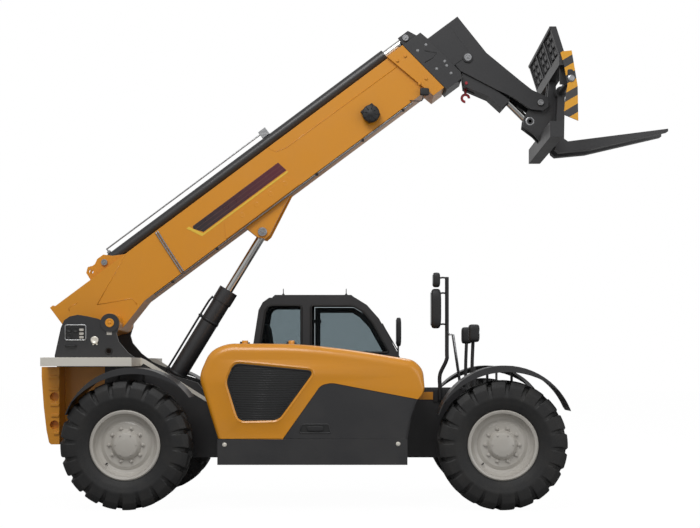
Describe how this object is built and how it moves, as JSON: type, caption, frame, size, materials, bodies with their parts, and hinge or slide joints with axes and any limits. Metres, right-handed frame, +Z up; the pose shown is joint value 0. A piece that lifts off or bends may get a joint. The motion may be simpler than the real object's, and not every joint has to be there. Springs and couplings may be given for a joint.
{
  "type": "telescopic handler",
  "caption": "Telescopic handler with a side cab, engine hood, steered wheels, a telescoping boom raised on a lift cylinder, and a tilting fork carriage.",
  "frame": {"origin": "on the ground, below the middle of the overall length and width", "axes": "+X to the front along the machine, +Y to the left, +Z up"},
  "size_m": [6.488, 2.45, 5.0981],
  "materials": {
    "yellow_paint": "gloss",
    "dark_paint": "satin",
    "rim_paint": "satin",
    "tyre_rubber": "matte",
    "bright_steel": "polished",
    "tread_plate": "brushed",
    "tinted_glass": "gloss",
    "black_plastic": "matte",
    "hook_paint": "gloss",
    "cast_engine": "rough",
    "pipe_steel": "satin",
    "grille_mesh": "satin"
  },
  "bodies": {
    "chassis": {"chassis_frame": "dark_paint", "counterweight": "yellow_paint", "deck_right": "tread_plate", "deck_left": "tread_plate", "front_axle": "dark_paint", "rear_axle": "dark_paint", "engine_block": "cast_engine", "engine_wall": "dark_paint", "side_skirt": "dark_paint", "step_tank": "dark_paint", "cab_shell": "dark_paint", "cab_roof": "dark_paint", "cab_glass": "tinted_glass", "cab_seat": "black_plastic", "cab_column": "black_plastic", "cab_mirror": "black_plastic", "mirror_post": "black_plastic", "lamp_post_right": "black_plastic", "lamp_post_left": "black_plastic"},
    "door": {"cab_door": "dark_paint", "door_glass": "tinted_glass"},
    "hood": {"hood_shell": "yellow_paint", "hood_panel": "dark_paint", "hood_grille": "grille_mesh"},
    "boom": {"boom_base": "yellow_paint", "extend_barrel": "dark_paint", "boom_pipes": "pipe_steel", "length_reel": "black_plastic"},
    "mid_section": {"boom_mid": "dark_paint", "extend_rod": "bright_steel"},
    "inner_section": {"boom_inner": "dark_paint", "load_hook": "hook_paint"},
    "carriage": {"carriage_frame": "dark_paint", "stripe_left": "yellow_paint", "stripe_right": "yellow_paint"},
    "left_fork": {"fork_left": "dark_paint"},
    "right_fork": {"fork_right": "dark_paint"},
    "lift_cylinder": {"lift_barrel": "dark_paint"},
    "lift_piston": {"lift_rod": "bright_steel"},
    "tilt_cylinder": {"tilt_barrel": "dark_paint"},
    "tilt_piston": {"tilt_rod": "bright_steel"},
    "steer_fl": {"knuckle_fl": "dark_paint", "fender_fl": "dark_paint"},
    "wheel_fl": {"rim_fl": "rim_paint", "tyre_fl": "tyre_rubber"},
    "steer_fr": {"knuckle_fr": "dark_paint", "fender_fr": "dark_paint"},
    "wheel_fr": {"rim_fr": "rim_paint", "tyre_fr": "tyre_rubber"},
    "steer_rl": {"knuckle_rl": "dark_paint", "fender_rl": "dark_paint"},
    "wheel_rl": {"rim_rl": "rim_paint", "tyre_rl": "tyre_rubber"},
    "steer_rr": {"knuckle_rr": "dark_paint", "fender_rr": "dark_paint"},
    "wheel_rr": {"rim_rr": "rim_paint", "tyre_rr": "tyre_rubber"}
  },
  "joints": [
    {"name": "boom_lift", "type": "hinge", "parent": "chassis", "child": "boom", "pos_m": [-2.57151, 0, 1.861], "axis": [0, -1, 0], "range_deg": [-40.7, 33.3]},
    {"name": "boom_extend", "type": "slide", "parent": "boom", "child": "mid_section", "axis": [0.8018, 0, 0.5976], "range_m": [0, 3.3]},
    {"name": "inner_extend", "type": "slide", "parent": "mid_section", "child": "inner_section", "axis": [0.8018, 0, 0.5976], "range_m": [0, 3.3]},
    {"name": "carriage_tilt", "type": "hinge", "parent": "inner_section", "child": "carriage", "pos_m": [1.91502, 0, 4.18991], "axis": [0, 1, 0], "range_deg": [-45, 75]},
    {"name": "fork_left_slide", "type": "slide", "parent": "carriage", "child": "left_fork", "axis": [0, 1, 0], "range_m": [0, 0.55]},
    {"name": "fork_right_slide", "type": "slide", "parent": "carriage", "child": "right_fork", "axis": [0, -1, 0], "range_m": [0, 0.55]},
    {"name": "lift_cylinder_swing", "type": "hinge", "parent": "chassis", "child": "lift_cylinder", "pos_m": [-2.21133, 0, 0.87082], "axis": [0, -1, 0], "range_deg": [-29.56, 24.19]},
    {"name": "lift_piston_slide", "type": "slide", "parent": "lift_cylinder", "child": "lift_piston", "axis": [0.5215, 0, 0.8533], "range_m": [-0.6353, 0.5199]},
    {"name": "tilt_cylinder_swing", "type": "hinge", "parent": "inner_section", "child": "tilt_cylinder", "pos_m": [1.14742, 0, 4.66418], "axis": [0, -1, 0], "range_deg": [-0.95, 1.55]},
    {"name": "tilt_piston_slide", "type": "slide", "parent": "tilt_cylinder", "child": "tilt_piston", "axis": [0.7083, 0, -0.7059], "range_m": [-0.2361, 0.1419]},
    {"name": "cab_door_swing", "type": "hinge", "parent": "chassis", "child": "door", "pos_m": [-0.53051, 1.168, 1.55], "axis": [0, 0, 1], "range_deg": [0, 90]},
    {"name": "hood_open", "type": "hinge", "parent": "chassis", "child": "hood", "pos_m": [-0.98251, -0.447, 1.652], "axis": [-1, 0, 0], "range_deg": [0, 55]},
    {"name": "steer_fl", "type": "hinge", "parent": "chassis", "child": "steer_fl", "pos_m": [1.41749, 0.813, 0.638], "axis": [0, 0, 1], "range_deg": [-35, 35]},
    {"name": "steer_fr", "type": "hinge", "parent": "chassis", "child": "steer_fr", "pos_m": [1.41749, -0.813, 0.638], "axis": [0, 0, 1], "range_deg": [-35, 35]},
    {"name": "steer_rl", "type": "hinge", "parent": "chassis", "child": "steer_rl", "pos_m": [-2.28251, 0.813, 0.638], "axis": [0, 0, 1], "range_deg": [-35, 35]},
    {"name": "steer_rr", "type": "hinge", "parent": "chassis", "child": "steer_rr", "pos_m": [-2.28251, -0.813, 0.638], "axis": [0, 0, 1], "range_deg": [-35, 35]},
    {"name": "wheel_spin_fl", "type": "hinge", "parent": "steer_fl", "child": "wheel_fl", "pos_m": [1.41749, 1.028, 0.638], "axis": [0, 1, 0], "continuous": true},
    {"name": "wheel_spin_fr", "type": "hinge", "parent": "steer_fr", "child": "wheel_fr", "pos_m": [1.41749, -1.028, 0.638], "axis": [0, 1, 0], "continuous": true},
    {"name": "wheel_spin_rl", "type": "hinge", "parent": "steer_rl", "child": "wheel_rl", "pos_m": [-2.28251, 1.028, 0.638], "axis": [0, 1, 0], "continuous": true},
    {"name": "wheel_spin_rr", "type": "hinge", "parent": "steer_rr", "child": "wheel_rr", "pos_m": [-2.28251, -1.028, 0.638], "axis": [0, 1, 0], "continuous": true}
  ],
  "couplings": [
    {"joint": "inner_extend", "follows": "boom_extend", "ratio": 1},
    {"joint": "lift_cylinder_swing", "follows": "boom_lift", "ratio": 0.725},
    {"joint": "lift_piston_slide", "follows": "boom_lift", "m_per_rad": 0.8936},
    {"joint": "tilt_cylinder_swing", "follows": "carriage_tilt", "ratio": 0.02},
    {"joint": "tilt_piston_slide", "follows": "carriage_tilt", "m_per_rad": -0.18},
    {"joint": "steer_fr", "follows": "steer_fl", "ratio": 1},
    {"joint": "steer_rr", "follows": "steer_rl", "ratio": 1}
  ]
}
